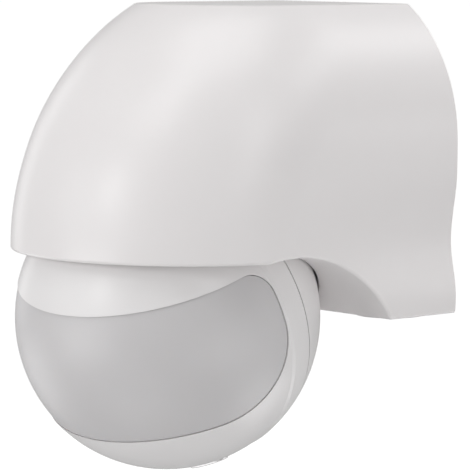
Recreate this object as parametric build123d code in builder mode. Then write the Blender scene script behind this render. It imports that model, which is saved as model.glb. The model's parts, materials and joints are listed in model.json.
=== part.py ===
from build123d import *
import math
import os

# Wall-mounted motion sensor: an arched housing that opens at the wall, and a ball-shaped
# sensor head beneath its front that pans and tilts. Millimetres, +Z up, front towards -Y.
# The origin is the centre of the wall plate's back face, and the wall is the plane Y = 0.

os.makedirs("parts", exist_ok=True)


def save(builder, name):
    builder.part.label = name
    export_step(builder.part, f"parts/{name}.step")


# ---------------------------------------------------------------- driving dimensions
# housing outline
housing_half_width = 35.2
housing_top = 31.3
housing_bottom = -32.0
housing_reach = 78.8        # wall to the front of the lip
top_reach = 51.1            # wall to the front of the flat top
lip_z = -18.6
front_bulge_z = -18.0       # height at which the front stands out furthest
shoulder_radius = 33.7
shoulder_drop = 28.0        # shoulder arc's centre below the flat top
waist_depth = 1.6
waist_z = -17.0
waist_rise = 15.0
waist_fall = 11.5
side_run_low = 44.9         # straight run of the side at the lip
side_run_high = 28.5        # the same near the top
side_run_top_z = 26.0
box_depth = 18.3            # wall box, front to back, at its bottom face
arch_rise = 0.75            # top of the arch above the lip
arch_peak_y = -43.9
wall = 2.0
top_edge_radius = 0.9
lip_edge_radius = 0.6

# ball head
ball_radius = 31.4
ball_drop = 13.7            # ball centre below the lip
ball_gap = 0.5              # hood to ball
lip_wall = 1.8              # what the ball's clearance leaves of the lip
socket_wall = 1.8           # wall of the hollow that the ball sits in
shell_wall = 2.0
head_pan = 12.0             # how far the stored head is turned to +X
head_pitch = 21.0           # how far it looks down
tilt_up = 21.0              # tilt travel from there
tilt_down = 24.0
seam_f = -6.0               # parting plane of the shells, along the facing axis
seam_gap = 0.3
crease_f = 0.7
crease_step = 0.25
crease_ramp = 0.8

# lens window, seen from the side: f along the facing axis, u up the head
window_half_height = 14.0
window_end_f = 0.7
window_top_corner = 5.5
window_bottom_corner = 16.0
lens_gap = 0.12
lens_recess = 0.25
lens_thickness = 1.3
lens_flange = 1.0
flange_thickness = 1.0
retainer_thickness = 1.0
retainer_width = 3.0
lens_rim = 1.2              # width of the lens's thick edge

# swivel
neck_radius = 7.0
neck_bore = 4.5
neck_top_z = 13.0
neck_flange_radius = 11.0
neck_flange_thickness = 2.3
running_gap = 0.05
axial_gap = 0.1
bearing_z = 5.0
bearing_thickness = 3.0
bearing_front = 66.0
bearing_back = 32.0
bearing_gap = 0.4
bearing_screw_x = 22.0
bearing_screw_ys = (-56.0, -38.0)
bearing_screw_bite = 6.0    # screw length above the plate
bearing_boss_radius = 3.2
bush_wall = 2.0
bush_flange_radius = 11.0
bush_flange_thickness = 0.8
wave_washer_thickness = 0.6
retaining_ring_thickness = 2.0
retaining_ring_radius = 10.5
slot_gap = 0.6

# tilt joint
pin_radius = 2.5
pin_head_radius = 4.0
pin_head_thickness = 1.2
eye_half_width = 6.4
eye_radius = 7.0
friction_washer_thickness = 1.5
friction_washer_radius = 5.5
ear_thickness = 2.6
ear_half_height = 5.0

# boards and fixings in the head
board_thickness = 1.6
board_f = 12.0
board_radius = 22.8
board_screw_x = 11.0
board_screw_u = 17.3
board_boss_radius = 2.2
bracket_thickness = 2.5
bracket_edge = 5.4          # screw centres to the bracket's outline, both sides together
can_radius = 4.1
can_height = 4.4
can_rim = 0.6
eye_size = (4.0, 3.0)
eye_recess = 0.6
eye_thickness = 0.4
small_part_x = 12.0
light_sensor_radius = 2.5
light_sensor_height = 4.0
status_light_radius = 1.5
status_light_height = 4.5
header_x = 17.0
header_size = (4.0, 12.0, 4.0)
screw_radius = 1.1
screw_clear = 0.25
screw_head_radius = 2.0
screw_head_thickness = 1.3
shell_screw_radius = 1.4
shell_screw_head_radius = 2.5
shell_screw_r = 26.2
shell_screw_angles = (24, 156, 227, 313)
shell_boss_radius = 3.2
shell_screw_head_f = -11.0
front_boss_length = 4.8
boss_root = 0.5             # how far the bosses run into the shells
boss_clear = 0.4
pilot_depth = 4.0
screw_bite = 3.5
tongue_radius = 28.5
tongue_wall = 1.3
tongue_reach = 2.0
seal_inset = 0.5            # shell edge to the seal's outer edge
seal_lap = 0.4

# adjusting knobs
knob_pitch = 8.0
knob_back = 4.0
knob_radius = 3.0
knob_gap = 0.4
knob_stem_radius = 1.5
knob_recess = 0.8           # knob faces in from the ball's surface
knob_slot_width = 0.9
knob_slot_depth = 1.2
pocket_depth = 6.0
pocket_wall = 1.1
pocket_floor = 1.5
trimmer_size = 6.5
trimmer_height = 5.0
trimmer_bore = 4.0
board_edge = 1.2            # trimmers to the adjuster board's outline, both sides together

# wall plate
plate_thickness = 3.0
plate_gap = 0.15
seal_width = 60.0
seal_height = 48.0
seal_z = -4.0
seal_corner = 8.0
seal_band = 1.6
seal_depth = 1.2
wall_screw_half_spacing = 24.0
wall_screw_hole_radius = 2.3
cable_x = 17.5
cable_z = -13.5
cable_hole_radius = 6.5
cable_bore_radius = 4.0
grommet_flange_radius = 8.0
grommet_flange_thickness = 1.5
hood_screw_x = 25.5
hood_screw_y = -9.5
hood_screw_radius = 1.5
hood_screw_head_radius = 2.9
hood_screw_recess = 1.5
pad_radius = 7.0
pad_height = 0.45
lug_half_width = 4.0
lug_depth = 13.0
lug_height = 7.0
lug_floor = 1.5             # plastic left above the screws' ends
hood_recess_radius = 1.3
hood_recess_depth = 0.8
head_rounding = 0.6

# terminals and power board
terminal_x = -9.0
terminal_z = -15.0
terminal_width = 34.0
terminal_height = 13.0
terminal_depth = 12.5
terminal_pitch = 10.0
terminal_screw_radius = 1.8
terminal_screw_length = 3.5
terminal_slot = (0.6, 0.8)  # driver slot's width and depth
terminal_wall = 1.0
clamp_size = 6.0
clamp_depth = 8.0
clamp_gap = 0.2
clamp_wall = 1.0
power_board_y = -12.0
power_board_width = 48.0
power_board_height = 20.0
power_board_z = 13.5
board_screw_bite = 5.0
post_radius = 3.0
post_x = 20.0
relay_x = -9.0
relay_size = (12.5, 19.0, 15.0)
film_x = 4.5
film_size = (8.0, 19.0, 13.0)
round_parts_x = 14.5
capacitor_radius = 4.5
capacitor_length = 12.0
capacitor_rise = 6.0
disc_radius = 4.5
disc_thickness = 3.0
disc_drop = 8.0
disc_leg = 0.5
disc_leg_width = 3.0

# ---------------------------------------------------------------- values worked out from them
shoulder_z = housing_top - shoulder_drop
rise = housing_top - front_bulge_z
fall_back = housing_reach - top_reach
front_radius = (rise**2 + fall_back**2) / (2 * fall_back)
front_centre = housing_reach - front_radius

arch_top = lip_z + arch_rise
arch_height = arch_top - housing_bottom
arch_half_chord = -arch_peak_y - box_depth
arch_radius = (arch_height**2 + arch_half_chord**2) / (2 * arch_height)
arch_z = arch_top - arch_radius

ball_z = lip_z - ball_drop
ball_y = math.sqrt((ball_radius + ball_gap) ** 2 - ball_drop**2) + lip_wall - housing_reach
ball_centre = Vector(0, ball_y, ball_z)

pan = math.radians(head_pan)
pitch = math.radians(head_pitch)
facing = Vector(math.sin(pan) * math.cos(pitch), -math.cos(pan) * math.cos(pitch), -math.sin(pitch))
right = Vector(math.cos(pan), math.sin(pan), 0)
forward = Vector(math.sin(pan), -math.cos(pan), 0)

side_view = Plane(origin=ball_centre, x_dir=facing, z_dir=-right)
upright_side = Plane(origin=ball_centre, x_dir=forward, z_dir=-right)
facing_axis = Axis(ball_centre, facing)


def facing_plane(f):
    """A plane square to the facing axis: x across the head, y up it."""
    return Plane(origin=ball_centre + facing * f, x_dir=right, z_dir=facing)


def level_plane(z):
    """A level plane over the ball's centre, turned with the head: x across it, y to its back."""
    return Plane(origin=Vector(0, ball_y, z), x_dir=right, z_dir=(0, 0, 1))


# ---------------------------------------------------------------- housing outline
def half_width(z, inset):
    if z <= shoulder_z:
        return housing_half_width - inset
    radius = shoulder_radius - inset
    return housing_half_width - shoulder_radius + math.sqrt(radius**2 - (z - shoulder_z) ** 2)


def waist(z):
    span = waist_rise if z > waist_z else waist_fall
    part_way = min(abs(z - waist_z) / span, 1)
    return waist_depth * math.cos(part_way * math.pi / 2) ** 2


def side_run(z):
    part_way = min(max((z - waist_z) / (side_run_top_z - waist_z), 0), 1)
    middle = (side_run_low + side_run_high) / 2
    return middle + (side_run_low - side_run_high) / 2 * math.cos(part_way * math.pi)


def front_reach(z, inset):
    return front_centre + math.sqrt((front_radius - inset) ** 2 - (z - front_bulge_z) ** 2)


def housing_section(z, inset, back):
    """The housing cut level at z: straight back and sides, and a rounded front."""
    width = half_width(z, inset)
    back_width = width - waist(z)
    run = side_run(z)
    with BuildSketch(Plane.XY.offset(z)) as section:
        with BuildLine():
            Line((-back_width, back), (back_width, back))
            Line((back_width, back), (width, -run))
            EllipticalCenterArc((0, -run), width, front_reach(z, inset) - run, 0, arc_size=-180)
            Line((-width, -run), (-back_width, back))
        make_face()
    return section.sketch


def housing_sections(inset, back):
    """Sections from below the box to the top, closer together where the shoulder curves in."""
    radius = shoulder_radius - inset
    low = housing_bottom - wall
    steps = 9
    top_angle = math.asin((housing_top - inset - shoulder_z) / radius)
    heights = [low + (shoulder_z - low) * i / steps for i in range(steps)]
    heights += [shoulder_z + radius * math.sin(top_angle * i / steps) for i in range(steps + 1)]
    return [housing_section(z, inset, back) for z in heights]


def underside(grow):
    """All that lies under the housing: below the lip, the arch and the wall box."""
    far = 2 * housing_reach
    radius = arch_radius + grow
    lip = lip_z + grow
    floor = housing_bottom + grow
    lip_end = arch_peak_y - math.sqrt(radius**2 - (lip - arch_z) ** 2)
    box_end = arch_peak_y + math.sqrt(radius**2 - (floor - arch_z) ** 2)
    with BuildPart() as space:
        with BuildSketch(Plane.YZ):
            with BuildLine():
                Line((-far, lip), (lip_end, lip))
                ThreePointArc((lip_end, lip), (arch_peak_y, arch_z + radius), (box_end, floor))
                Line((box_end, floor), (far, floor))
                Polyline((far, floor), (far, -far), (-far, -far), (-far, lip))
            make_face()
        extrude(amount=far, both=True)
    return space.part


# ---------------------------------------------------------------- housing hood
bearing_top = bearing_z + bearing_thickness
bearing_screw_places = [(x, y) for x in (-bearing_screw_x, bearing_screw_x) for y in bearing_screw_ys]
hood_screw_places = [(-hood_screw_x, hood_screw_y), (hood_screw_x, hood_screw_y)]

with BuildPart() as cavity:
    loft(housing_sections(wall, 1))
    add(underside(wall), mode=Mode.SUBTRACT)
    with Locations(ball_centre):
        Sphere(ball_radius + ball_gap + socket_wall, mode=Mode.SUBTRACT)
    with BuildSketch(Plane.XY.offset(bearing_top)):
        with Locations(*bearing_screw_places):
            Circle(bearing_boss_radius)
    extrude(amount=housing_top, mode=Mode.SUBTRACT)

with BuildPart() as housing_hood:
    loft(housing_sections(0, 0))
    add(underside(0), mode=Mode.SUBTRACT)
    flat_top = housing_hood.faces().sort_by(Axis.Z)[-1]
    top_rim = flat_top.edges().filter_by(lambda e: e.center().Y < -1)
    fillet(top_rim, top_edge_radius)
    low_edges = housing_hood.edges().filter_by(lambda e: e.center().Z < arch_top and e.center().Y < -1)
    lower_rim = low_edges.filter_by(lambda e: e.geom_type != GeomType.LINE)
    box_front_edge = low_edges.filter_by(Axis.X).sort_by(Axis.Z)[0]
    fillet([*lower_rim, box_front_edge], lip_edge_radius)
    with BuildSketch(Plane.XY.offset(housing_bottom)):
        with Locations(*hood_screw_places):
            Circle(pad_radius)
    extrude(amount=-pad_height)
    add(cavity.part, mode=Mode.SUBTRACT)
    with Locations(ball_centre):
        Sphere(ball_radius + ball_gap, mode=Mode.SUBTRACT)
    with BuildSketch(Plane.XY.offset(ball_z)):
        with Locations((0, ball_y)):
            Circle(neck_radius + slot_gap)
    extrude(amount=bearing_z - ball_z, mode=Mode.SUBTRACT)
    with BuildSketch(Plane.XY.offset(bearing_top)):
        with Locations(*bearing_screw_places):
            Circle(screw_radius)
    extrude(amount=bearing_screw_bite + 2, mode=Mode.SUBTRACT)
    with BuildSketch(Plane.XY.offset(housing_bottom - pad_height)):
        with Locations(*hood_screw_places):
            Circle(hood_screw_radius + screw_clear)
    extrude(amount=wall + pad_height, mode=Mode.SUBTRACT)
    with BuildSketch(Plane.XY.offset(housing_bottom - pad_height)):
        with Locations(*hood_screw_places):
            Circle(hood_screw_head_radius + screw_clear)
    extrude(amount=hood_screw_recess, mode=Mode.SUBTRACT)
save(housing_hood, "housing_hood")

# ---------------------------------------------------------------- wall plate and its fittings
floor_z = housing_bottom + wall + plate_gap
post_places = [(-post_x, power_board_z), (post_x, power_board_z)]
post_length = -power_board_y - plate_thickness


def seal_ring():
    with BuildSketch(Plane.XZ) as ring:
        with Locations((0, seal_z)):
            RectangleRounded(seal_width, seal_height, seal_corner)
            inner_width = seal_width - 2 * seal_band
            inner_height = seal_height - 2 * seal_band
            RectangleRounded(inner_width, inner_height, seal_corner - seal_band, mode=Mode.SUBTRACT)
    return ring.sketch


with BuildPart() as wall_plate:
    loft(housing_sections(wall + plate_gap, 0))
    add(underside(wall + plate_gap), mode=Mode.SUBTRACT)
    with BuildSketch(Plane.XZ):
        Rectangle(4 * housing_half_width, 4 * housing_top)
    extrude(amount=plate_thickness, mode=Mode.INTERSECT)
    with BuildSketch(Plane.XZ.offset(plate_thickness)):
        with Locations(*[(x, floor_z + lug_height / 2) for x, y in hood_screw_places]):
            Rectangle(2 * lug_half_width, lug_height)
    extrude(amount=lug_depth - plate_thickness)
    with BuildSketch(Plane.XZ.offset(plate_thickness)):
        with Locations(*post_places):
            Circle(post_radius)
    extrude(amount=post_length)
    with BuildSketch(Plane.XZ):
        with Locations((-wall_screw_half_spacing, 0), (wall_screw_half_spacing, 0)):
            Circle(wall_screw_hole_radius)
        with Locations((cable_x, cable_z)):
            Circle(cable_hole_radius)
    extrude(amount=plate_thickness, mode=Mode.SUBTRACT)
    with BuildSketch(Plane.XZ.offset(-power_board_y)):
        with Locations(*post_places):
            Circle(screw_radius)
    extrude(amount=-board_screw_bite - 1, mode=Mode.SUBTRACT)
    with BuildSketch(Plane.XY.offset(floor_z)):
        with Locations(*hood_screw_places):
            Circle(hood_screw_radius)
    extrude(amount=lug_height - lug_floor + screw_clear, mode=Mode.SUBTRACT)
    extrude(seal_ring(), amount=seal_depth, mode=Mode.SUBTRACT)
save(wall_plate, "wall_plate")

with BuildPart() as wall_seal:
    extrude(seal_ring(), amount=seal_depth)
save(wall_seal, "wall_seal")

with BuildPart() as cable_grommet:
    with BuildSketch(Plane.XZ):
        with Locations((cable_x, cable_z)):
            Circle(cable_hole_radius)
    extrude(amount=plate_thickness)
    with BuildSketch(Plane.XZ.offset(plate_thickness)):
        with Locations((cable_x, cable_z)):
            Circle(grommet_flange_radius)
    extrude(amount=grommet_flange_thickness)
    with BuildSketch(Plane.XZ):
        with Locations((cable_x, cable_z)):
            Circle(cable_bore_radius)
    extrude(amount=plate_thickness + grommet_flange_thickness, mode=Mode.SUBTRACT)
save(cable_grommet, "cable_grommet")

hood_screw_seat_z = housing_bottom - pad_height + hood_screw_recess
with BuildPart() as hood_screws:
    with BuildSketch(Plane.XY.offset(hood_screw_seat_z)):
        with Locations(*hood_screw_places):
            Circle(hood_screw_head_radius)
    extrude(amount=-screw_head_thickness)
    heads = hood_screws.edges().group_by(Axis.Z)[0]
    fillet(heads, head_rounding)
    with BuildSketch(Plane.XY.offset(hood_screw_seat_z - screw_head_thickness)):
        with Locations(*hood_screw_places):
            Circle(hood_recess_radius)
    extrude(amount=hood_recess_depth, mode=Mode.SUBTRACT)
    with BuildSketch(Plane.XY.offset(hood_screw_seat_z)):
        with Locations(*hood_screw_places):
            Circle(hood_screw_radius)
    extrude(amount=floor_z + lug_height - lug_floor - hood_screw_seat_z)
save(hood_screws, "hood_screws")

# ---------------------------------------------------------------- terminal block
terminal_xs = [terminal_x + terminal_pitch * i for i in (-1, 0, 1)]
terminal_face_y = -plate_thickness - terminal_depth

with BuildPart() as terminal_block:
    with BuildSketch(Plane.XZ.offset(plate_thickness)):
        with Locations((terminal_x, terminal_z)):
            Rectangle(terminal_width, terminal_height)
    extrude(amount=terminal_depth)
    fillet(terminal_block.edges().filter_by(Axis.Y), 0.8)
    for x in terminal_xs:
        with BuildSketch(Plane.XY.offset(terminal_z - terminal_height / 2)):
            with Locations((x, -plate_thickness - terminal_wall - clamp_depth / 2)):
                Rectangle(clamp_size, clamp_depth)
        extrude(amount=terminal_height - 2 * terminal_wall, mode=Mode.SUBTRACT)
        with BuildSketch(Plane.XZ.offset(-terminal_face_y)):
            with Locations((x, terminal_z)):
                Circle(terminal_screw_radius + screw_clear)
        extrude(amount=-terminal_depth / 2, mode=Mode.SUBTRACT)
save(terminal_block, "terminal_block")

clamp_back_y = -plate_thickness - terminal_wall - clamp_gap
clamp_front_y = -plate_thickness - terminal_wall - clamp_depth + clamp_gap
with BuildPart() as terminal_clamps:
    for x in terminal_xs:
        with BuildSketch(Plane.XZ.offset(-clamp_back_y)):
            with Locations((x, terminal_z)):
                Rectangle(clamp_size - 2 * clamp_gap, clamp_size)
        extrude(amount=clamp_back_y - clamp_front_y)
        with BuildSketch(Plane.XY.offset(terminal_z - clamp_size)):
            with Locations((x, (clamp_back_y + clamp_front_y) / 2)):
                Rectangle(clamp_size - 2 * clamp_wall, clamp_back_y - clamp_front_y - 2 * clamp_wall)
        extrude(amount=2 * clamp_size, mode=Mode.SUBTRACT)
save(terminal_clamps, "terminal_clamps")

with BuildPart() as terminal_screws:
    for x in terminal_xs:
        with BuildSketch(Plane.XZ.offset(-clamp_front_y)):
            with Locations((x, terminal_z)):
                Circle(terminal_screw_radius)
        extrude(amount=terminal_screw_length)
        with BuildSketch(Plane.XZ.offset(terminal_screw_length - clamp_front_y)):
            with Locations((x, terminal_z)):
                Rectangle(2 * terminal_screw_radius, terminal_slot[0])
        extrude(amount=-terminal_slot[1], mode=Mode.SUBTRACT)
save(terminal_screws, "terminal_screws")

# ---------------------------------------------------------------- power board
board_front_y = power_board_y - board_thickness

with BuildPart() as power_board:
    with BuildSketch(Plane.XZ.offset(-power_board_y)):
        with Locations((0, power_board_z)):
            Rectangle(power_board_width, power_board_height)
        with Locations(*post_places):
            Circle(screw_radius + screw_clear, mode=Mode.SUBTRACT)
    extrude(amount=board_thickness)
save(power_board, "power_board")

with BuildPart() as power_board_screws:
    with BuildSketch(Plane.XZ.offset(-board_front_y)):
        with Locations(*post_places):
            Circle(screw_head_radius)
    extrude(amount=screw_head_thickness)
    with BuildSketch(Plane.XZ.offset(-board_front_y)):
        with Locations(*post_places):
            Circle(screw_radius)
    extrude(amount=-board_thickness - board_screw_bite)
save(power_board_screws, "power_board_screws")


def on_power_board(x, z, width, height, depth, name, corner):
    """A boxed component standing on the power board."""
    with BuildPart() as component:
        with BuildSketch(Plane.XZ.offset(-board_front_y)):
            with Locations((x, z)):
                Rectangle(width, height)
        extrude(amount=depth)
        fillet(component.edges().filter_by(Axis.Y), corner)
    save(component, name)


on_power_board(relay_x, power_board_z, *relay_size, "relay", 0.6)
on_power_board(film_x, power_board_z, *film_size, "film_capacitor", 0.8)

with BuildPart() as smoothing_capacitor:
    with BuildSketch(Plane.XZ.offset(-board_front_y)):
        with Locations((round_parts_x, power_board_z + capacitor_rise)):
            Circle(capacitor_radius)
    extrude(amount=capacitor_length)
    fillet(smoothing_capacitor.edges().group_by(Axis.Y)[0], 0.6)
save(smoothing_capacitor, "smoothing_capacitor")

with BuildPart() as surge_disc:
    with BuildSketch(Plane.XY.offset(power_board_z - disc_drop)):
        with Locations((round_parts_x, board_front_y - disc_radius - disc_leg)):
            Circle(disc_radius)
            with Locations((0, disc_radius - disc_leg)):
                Rectangle(disc_leg_width, 4 * disc_leg)
    extrude(amount=disc_thickness)
save(surge_disc, "surge_disc")

# ---------------------------------------------------------------- bearing plate and bush
bearing_bore = neck_radius + running_gap + bush_wall
neck_place = (0, ball_y)

with BuildPart() as bearing_plate:
    with BuildSketch(Plane.XY.offset(bearing_z)):
        add(housing_section(bearing_top, wall + bearing_gap, 0).moved(Location((0, 0, -bearing_top))))
        with Locations((0, -(bearing_front + bearing_back) / 2)):
            Rectangle(4 * housing_half_width, bearing_front - bearing_back, mode=Mode.INTERSECT)
        with Locations(neck_place):
            Circle(bearing_bore, mode=Mode.SUBTRACT)
        with Locations(*bearing_screw_places):
            Circle(screw_radius + screw_clear, mode=Mode.SUBTRACT)
    extrude(amount=bearing_thickness)
save(bearing_plate, "bearing_plate")

with BuildPart() as bearing_screws:
    with BuildSketch(Plane.XY.offset(bearing_z)):
        with Locations(*bearing_screw_places):
            Circle(screw_head_radius)
    extrude(amount=-screw_head_thickness)
    with BuildSketch(Plane.XY.offset(bearing_z)):
        with Locations(*bearing_screw_places):
            Circle(screw_radius)
    extrude(amount=bearing_thickness + bearing_screw_bite)
save(bearing_screws, "bearing_screws")

with BuildPart() as pan_bush:
    with BuildSketch(Plane.XY.offset(bearing_z)):
        with Locations(neck_place):
            Circle(bearing_bore)
            Circle(neck_radius + running_gap, mode=Mode.SUBTRACT)
    extrude(amount=bearing_thickness)
    with BuildSketch(Plane.XY.offset(bearing_top)):
        with Locations(neck_place):
            Circle(bush_flange_radius)
            Circle(neck_radius + running_gap, mode=Mode.SUBTRACT)
    extrude(amount=bush_flange_thickness)
save(pan_bush, "pan_bush")

# ---------------------------------------------------------------- neck, which pans
washer_z = bearing_top + bush_flange_thickness + axial_gap
ring_z = washer_z + wave_washer_thickness
flange_z = bearing_z - axial_gap - neck_flange_thickness
pin_plane = Plane(origin=ball_centre, x_dir=forward, z_dir=right)

with BuildPart() as neck:
    with BuildSketch(Plane.XY.offset(ball_z)):
        with Locations(neck_place):
            Circle(neck_radius)
    extrude(amount=neck_top_z - ball_z)
    with BuildSketch(pin_plane):
        Circle(eye_radius)
    extrude(amount=eye_half_width, both=True)
    with BuildSketch(Plane.XY.offset(flange_z)):
        with Locations(neck_place):
            Circle(neck_flange_radius)
    extrude(amount=neck_flange_thickness)
    with BuildSketch(Plane.XY.offset(ball_z + eye_radius)):
        with Locations(neck_place):
            Circle(neck_bore)
    extrude(amount=neck_top_z - ball_z, mode=Mode.SUBTRACT)
    with BuildSketch(pin_plane):
        Circle(pin_radius + running_gap)
    extrude(amount=2 * neck_radius, both=True, mode=Mode.SUBTRACT)
    for side in (-1, 1):
        with BuildSketch(pin_plane.offset(side * eye_half_width)):
            Circle(eye_radius + slot_gap)
        extrude(amount=side * neck_radius, mode=Mode.SUBTRACT)
save(neck, "neck")


def neck_collar(name, z, thickness, inner, outer):
    with BuildPart() as collar:
        with BuildSketch(Plane.XY.offset(z)):
            with Locations(neck_place):
                Circle(outer)
                Circle(inner, mode=Mode.SUBTRACT)
        extrude(amount=thickness)
    save(collar, name)


neck_collar("wave_washer", washer_z, wave_washer_thickness, neck_radius + bearing_gap, retaining_ring_radius)
neck_collar("retaining_ring", ring_z, retaining_ring_thickness, neck_radius, retaining_ring_radius)

# ---------------------------------------------------------------- ball head shells
shell_inner = ball_radius - shell_wall
cap_radius = ball_radius - crease_step
board_front_f = board_f + board_thickness


def at_f(radius, f):
    """The point of a circle about the ball's centre at f, in the side view."""
    return f, math.sqrt(radius**2 - f**2)


def angle_at_f(radius, f):
    return math.degrees(math.acos(f / radius))


def shell_screw_places():
    return [
        (shell_screw_r * math.cos(math.radians(a)), shell_screw_r * math.sin(math.radians(a)))
        for a in shell_screw_angles
    ]


def window(grow, front):
    """The lens window seen from the side, running off past the front of the ball."""
    with BuildSketch(side_view) as outline:
        with BuildLine():
            end = window_end_f - grow
            half = window_half_height + grow
            Polyline((front, half), (end, half), (end, -half), (front, -half), (front, half))
        make_face()
        upper = outline.vertices().filter_by(lambda v: v.X < end + 1 and v.Y > 0)
        fillet(upper, window_top_corner + grow)
        lower = outline.vertices().filter_by(lambda v: v.X < end + 1 and v.Y < 0)
        fillet(lower, window_bottom_corner + grow)
    return outline.sketch


def ball_zone(outer, inner, grow):
    """The layer of the ball between two radii, inside the window's outline."""
    with BuildPart() as zone:
        extrude(window(grow, 2 * ball_radius), amount=2 * ball_radius, both=True)
        with Locations(ball_centre):
            Sphere(outer, mode=Mode.INTERSECT)
            Sphere(inner, mode=Mode.SUBTRACT)
    return zone.part


slot_half_width = neck_radius + slot_gap
slot_margin = math.degrees(math.asin(slot_half_width / shell_inner))
with BuildPart() as neck_slot:
    with BuildSketch(upright_side):
        with BuildLine():
            reach = 2 * ball_radius
            front_angle = math.radians(90 - tilt_up - slot_margin)
            back_angle = math.radians(90 + tilt_down + slot_margin)
            Polyline(
                (0, 0),
                (reach * math.cos(front_angle), reach * math.sin(front_angle)),
                (0, 2 * reach),
                (reach * math.cos(back_angle), reach * math.sin(back_angle)),
                (0, 0),
            )
        make_face()
    extrude(amount=slot_half_width, both=True)

knob_places = [(knob_pitch * i, knob_back) for i in (-1, 0, 1)]
pocket_radius = knob_radius + knob_gap
pocket_top_z = ball_z - ball_radius + pocket_depth
trimmer_z = pocket_top_z + pocket_floor

with BuildPart() as front_bosses:
    with BuildSketch(facing_plane(board_front_f)):
        with GridLocations(2 * board_screw_x, 2 * board_screw_u, 2, 2):
            Circle(board_boss_radius)
    extrude(amount=ball_radius)
    with BuildSketch(facing_plane(seam_f)):
        with Locations(*shell_screw_places()):
            Circle(shell_boss_radius)
    extrude(amount=front_boss_length)
    with BuildSketch(level_plane(ball_z - ball_radius)):
        with Locations(*knob_places):
            Circle(pocket_radius + pocket_wall)
    extrude(amount=pocket_depth + pocket_floor)
    with Locations(ball_centre):
        Sphere(shell_inner + boss_root, mode=Mode.INTERSECT)

with BuildPart() as head_front_shell:
    with BuildSketch(side_view):
        with BuildLine():
            crease_angle = angle_at_f(cap_radius, crease_f)
            band_angle = angle_at_f(ball_radius, crease_f - crease_ramp)
            seam_angle = angle_at_f(ball_radius, seam_f)
            inner_angle = angle_at_f(shell_inner, seam_f)
            cap = CenterArc((0, 0), cap_radius, 0, crease_angle)
            band = CenterArc((0, 0), ball_radius, band_angle, seam_angle - band_angle)
            Line(cap @ 1, band @ 0)
            Line(band @ 1, at_f(shell_inner, seam_f))
            inside = CenterArc((0, 0), shell_inner, inner_angle, -inner_angle)
            Line(inside @ 1, cap @ 0)
        make_face()
    revolve(axis=facing_axis)
    add(front_bosses.part)
    extrude(window(0, 2 * ball_radius), amount=2 * ball_radius, both=True, mode=Mode.SUBTRACT)
    add(neck_slot.part, mode=Mode.SUBTRACT)
    with BuildSketch(level_plane(ball_z - ball_radius - 1)):
        with Locations(*knob_places):
            Circle(pocket_radius)
    extrude(amount=pocket_depth + 1, mode=Mode.SUBTRACT)
    with BuildSketch(level_plane(pocket_top_z)):
        with Locations(*knob_places):
            Circle(knob_stem_radius + running_gap)
    extrude(amount=pocket_floor, mode=Mode.SUBTRACT)
    with BuildSketch(facing_plane(board_front_f)):
        with GridLocations(2 * board_screw_x, 2 * board_screw_u, 2, 2):
            Circle(screw_radius)
    extrude(amount=pilot_depth, mode=Mode.SUBTRACT)
    with BuildSketch(facing_plane(seam_f)):
        with Locations(*shell_screw_places()):
            Circle(shell_screw_radius)
    extrude(amount=pilot_depth, mode=Mode.SUBTRACT)
save(head_front_shell, "head_front_shell")

rear_f = seam_f - seam_gap

with BuildPart() as rear_bosses:
    with BuildSketch(facing_plane(rear_f)):
        with Locations(*shell_screw_places()):
            Circle(shell_boss_radius)
    extrude(amount=shell_screw_head_f - rear_f - 2)
    with Locations(ball_centre):
        Sphere(shell_inner + boss_root, mode=Mode.INTERSECT)

with BuildPart() as head_rear_shell:
    with BuildSketch(side_view):
        with BuildLine():
            seam_angle = angle_at_f(ball_radius, rear_f)
            inner_angle = angle_at_f(shell_inner, rear_f)
            outside = CenterArc((0, 0), ball_radius, seam_angle, 180 - seam_angle)
            inside = CenterArc((0, 0), shell_inner, 180, inner_angle - 180)
            Line(outside @ 1, inside @ 0)
            Line(inside @ 1, outside @ 0)
        make_face()
    revolve(axis=facing_axis)
    with BuildSketch(facing_plane(rear_f - tongue_reach)):
        Circle(tongue_radius)
        Circle(tongue_radius - tongue_wall, mode=Mode.SUBTRACT)
    extrude(amount=2 * tongue_reach)
    with BuildSketch(facing_plane(rear_f)):
        with Locations(*shell_screw_places()):
            Circle(shell_boss_radius + boss_clear)
    extrude(amount=2 * tongue_reach, mode=Mode.SUBTRACT)
    add(rear_bosses.part)
    with BuildSketch(facing_plane(rear_f)):
        with Locations(*shell_screw_places()):
            Circle(shell_screw_radius + screw_clear)
    extrude(amount=shell_screw_head_f - rear_f, mode=Mode.SUBTRACT)
    with BuildSketch(facing_plane(shell_screw_head_f)):
        with Locations(*shell_screw_places()):
            Circle(shell_screw_head_radius + screw_clear)
    extrude(amount=-ball_radius, mode=Mode.SUBTRACT)
    add(neck_slot.part, mode=Mode.SUBTRACT)
save(head_rear_shell, "head_rear_shell")

with BuildPart() as shell_screws:
    with BuildSketch(facing_plane(shell_screw_head_f)):
        with Locations(*shell_screw_places()):
            Circle(shell_screw_head_radius)
    extrude(amount=-screw_head_thickness)
    with BuildSketch(facing_plane(shell_screw_head_f)):
        with Locations(*shell_screw_places()):
            Circle(shell_screw_radius)
    extrude(amount=seam_f - shell_screw_head_f + screw_bite)
save(shell_screws, "shell_screws")

with BuildPart() as head_seal:
    with BuildSketch(facing_plane(rear_f)):
        Circle(at_f(ball_radius, seam_f)[1] - seal_inset)
        Circle(at_f(shell_inner, seam_f)[1] + seal_lap, mode=Mode.SUBTRACT)
        with Locations(*shell_screw_places()):
            Circle(shell_boss_radius + screw_clear, mode=Mode.SUBTRACT)
    extrude(amount=seam_gap)
    add(neck_slot.part, mode=Mode.SUBTRACT)
save(head_seal, "head_seal")

# ---------------------------------------------------------------- lens and its retainer
lens_outer = cap_radius - lens_recess
flange_outer = shell_inner - axial_gap
flange_inner = flange_outer - flange_thickness
retainer_outer = flange_inner - axial_gap
retainer_inner = retainer_outer - retainer_thickness

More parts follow.
